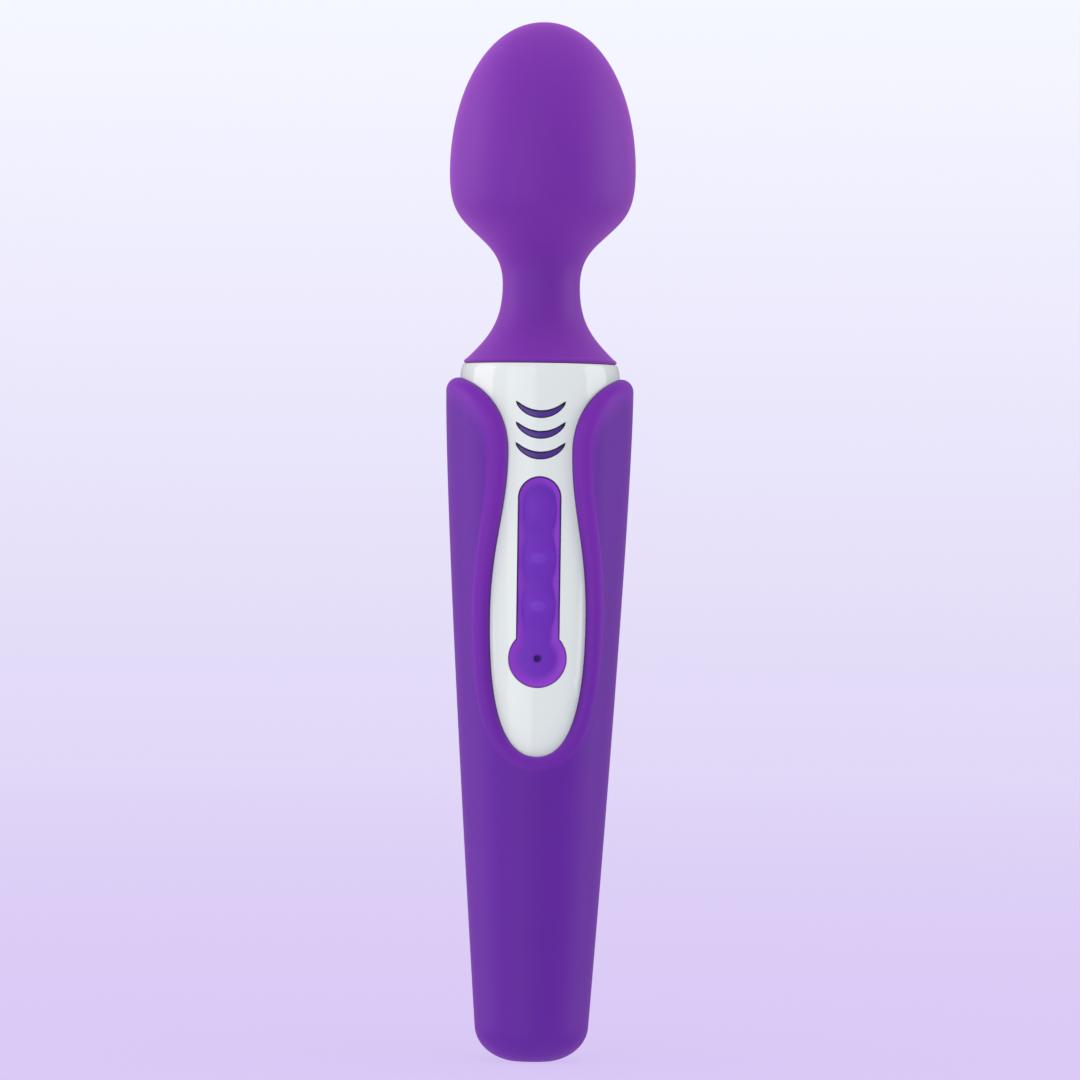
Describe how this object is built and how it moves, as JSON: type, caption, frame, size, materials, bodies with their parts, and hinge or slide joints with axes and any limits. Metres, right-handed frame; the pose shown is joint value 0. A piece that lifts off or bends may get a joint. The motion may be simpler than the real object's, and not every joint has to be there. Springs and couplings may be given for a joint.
{
  "type": "handheld wand massager",
  "caption": "Cordless wand massager: egg-shaped vibrating head on a flexible neck, tapered silicone-sleeved handle with white front panel, domed keys and a round charging port.",
  "frame": {"origin": "centre of the small flat on the tail, the end of the handle away from the head", "axes": "+Z along the wand towards the head, -Y out of the front panel with the keys, +X to the right of someone who looks at the keys"},
  "size_m": [0.0424, 0.0422, 0.235],
  "materials": {
    "purple_silicone": "matte silicone with a soft sheen",
    "deep_purple_silicone": "matte silicone",
    "white_abs": "high gloss",
    "smoky_violet_lens": "translucent, gloss",
    "white_led": "gloss",
    "screw_steel": "zinc plated",
    "spring_steel": "drawn wire",
    "can_steel": "nickel plated, satin",
    "lamination_steel": "stacked sheet",
    "ferrite": "dull grey ceramic",
    "cell_can": "plain steel can",
    "cell_wrap": "shrink film",
    "nickel_strip": "satin",
    "foam": "closed-cell foam",
    "board_green": "solder mask",
    "black_plastic": "moulded",
    "connector_plastic": "moulded",
    "button_plastic": "moulded",
    "red_lead": "silicone wire",
    "black_lead": "silicone wire",
    "copper": "enamelled or bare copper",
    "bronze": "sintered, oiled",
    "brass": "turned"
  },
  "bodies": {
    "handle": {"grip_sleeve": "purple_silicone", "front_shell": "white_abs", "rear_shell": "white_abs", "shell_screws": "screw_steel", "light_guide": "smoky_violet_lens", "status_leds": "white_led", "keypad_mat": "deep_purple_silicone", "control_board": "board_green", "board_screws": "screw_steel", "board_chips": "black_plastic", "switch_bodies": "black_plastic", "jack_housing": "black_plastic", "jack_contact_tube": "brass", "battery_cell": "cell_can", "battery_wrap": "cell_wrap", "battery_top_cap": "nickel_strip", "battery_tabs": "nickel_strip", "battery_pads": "foam", "battery_lead_red": "red_lead", "battery_lead_black": "black_lead", "battery_connector": "connector_plastic", "motor_connector": "connector_plastic", "neck_socket": "black_plastic"},
    "neck": {"neck_spring": "spring_steel", "motor_lead_red": "red_lead", "motor_lead_black": "black_lead"},
    "head": {"head_skin": "purple_silicone", "capsule_front": "white_abs", "capsule_rear": "white_abs", "capsule_screws": "screw_steel", "neck_plug": "black_plastic", "motor_can": "can_steel", "motor_damper": "foam", "motor_magnets": "ferrite", "motor_end_cap": "black_plastic", "motor_terminals": "brass", "motor_brushes": "copper", "motor_bush_upper": "bronze", "motor_bush_lower": "bronze"},
    "rotor": {"motor_shaft": "can_steel", "rotor_core": "lamination_steel", "rotor_windings": "copper", "commutator": "copper", "eccentric_weight": "brass"},
    "power_key": {"key_power": "deep_purple_silicone", "switch_button_power": "button_plastic"},
    "plus_key": {"key_plus": "deep_purple_silicone", "switch_button_plus": "button_plastic"},
    "minus_key": {"key_minus": "deep_purple_silicone", "switch_button_minus": "button_plastic"}
  },
  "joints": [
    {"name": "neck_nod", "type": "hinge", "parent": "handle", "child": "neck", "pos_m": [0, 0, 0.1655], "axis": [1, 0, 0], "range_deg": [-20, 20], "stiffness_Nm_per_rad": 1.2, "deforming": ["neck_spring", "motor_lead_red", "motor_lead_black", "head_skin"]},
    {"name": "neck_sway", "type": "hinge", "parent": "neck", "child": "head", "pos_m": [0, 0, 0.179], "axis": [0, 1, 0], "range_deg": [-20, 20], "stiffness_Nm_per_rad": 1.2, "deforming": ["neck_spring", "motor_lead_red", "motor_lead_black", "head_skin"]},
    {"name": "motor_spin", "type": "hinge", "parent": "head", "child": "rotor", "pos_m": [0, 0, 0.2], "axis": [0, 0, 1], "continuous": true},
    {"name": "power_press", "type": "slide", "parent": "handle", "child": "power_key", "axis": [0, 1, 0], "range_m": [0, 0.0005], "stiffness_N_per_m": 1500, "springref_m": -0.0005},
    {"name": "plus_press", "type": "slide", "parent": "handle", "child": "plus_key", "axis": [0, 1, 0], "range_m": [0, 0.0005], "stiffness_N_per_m": 1500, "springref_m": -0.0005},
    {"name": "minus_press", "type": "slide", "parent": "handle", "child": "minus_key", "axis": [0, 1, 0], "range_m": [0, 0.0005], "stiffness_N_per_m": 1500, "springref_m": -0.0005}
  ]
}
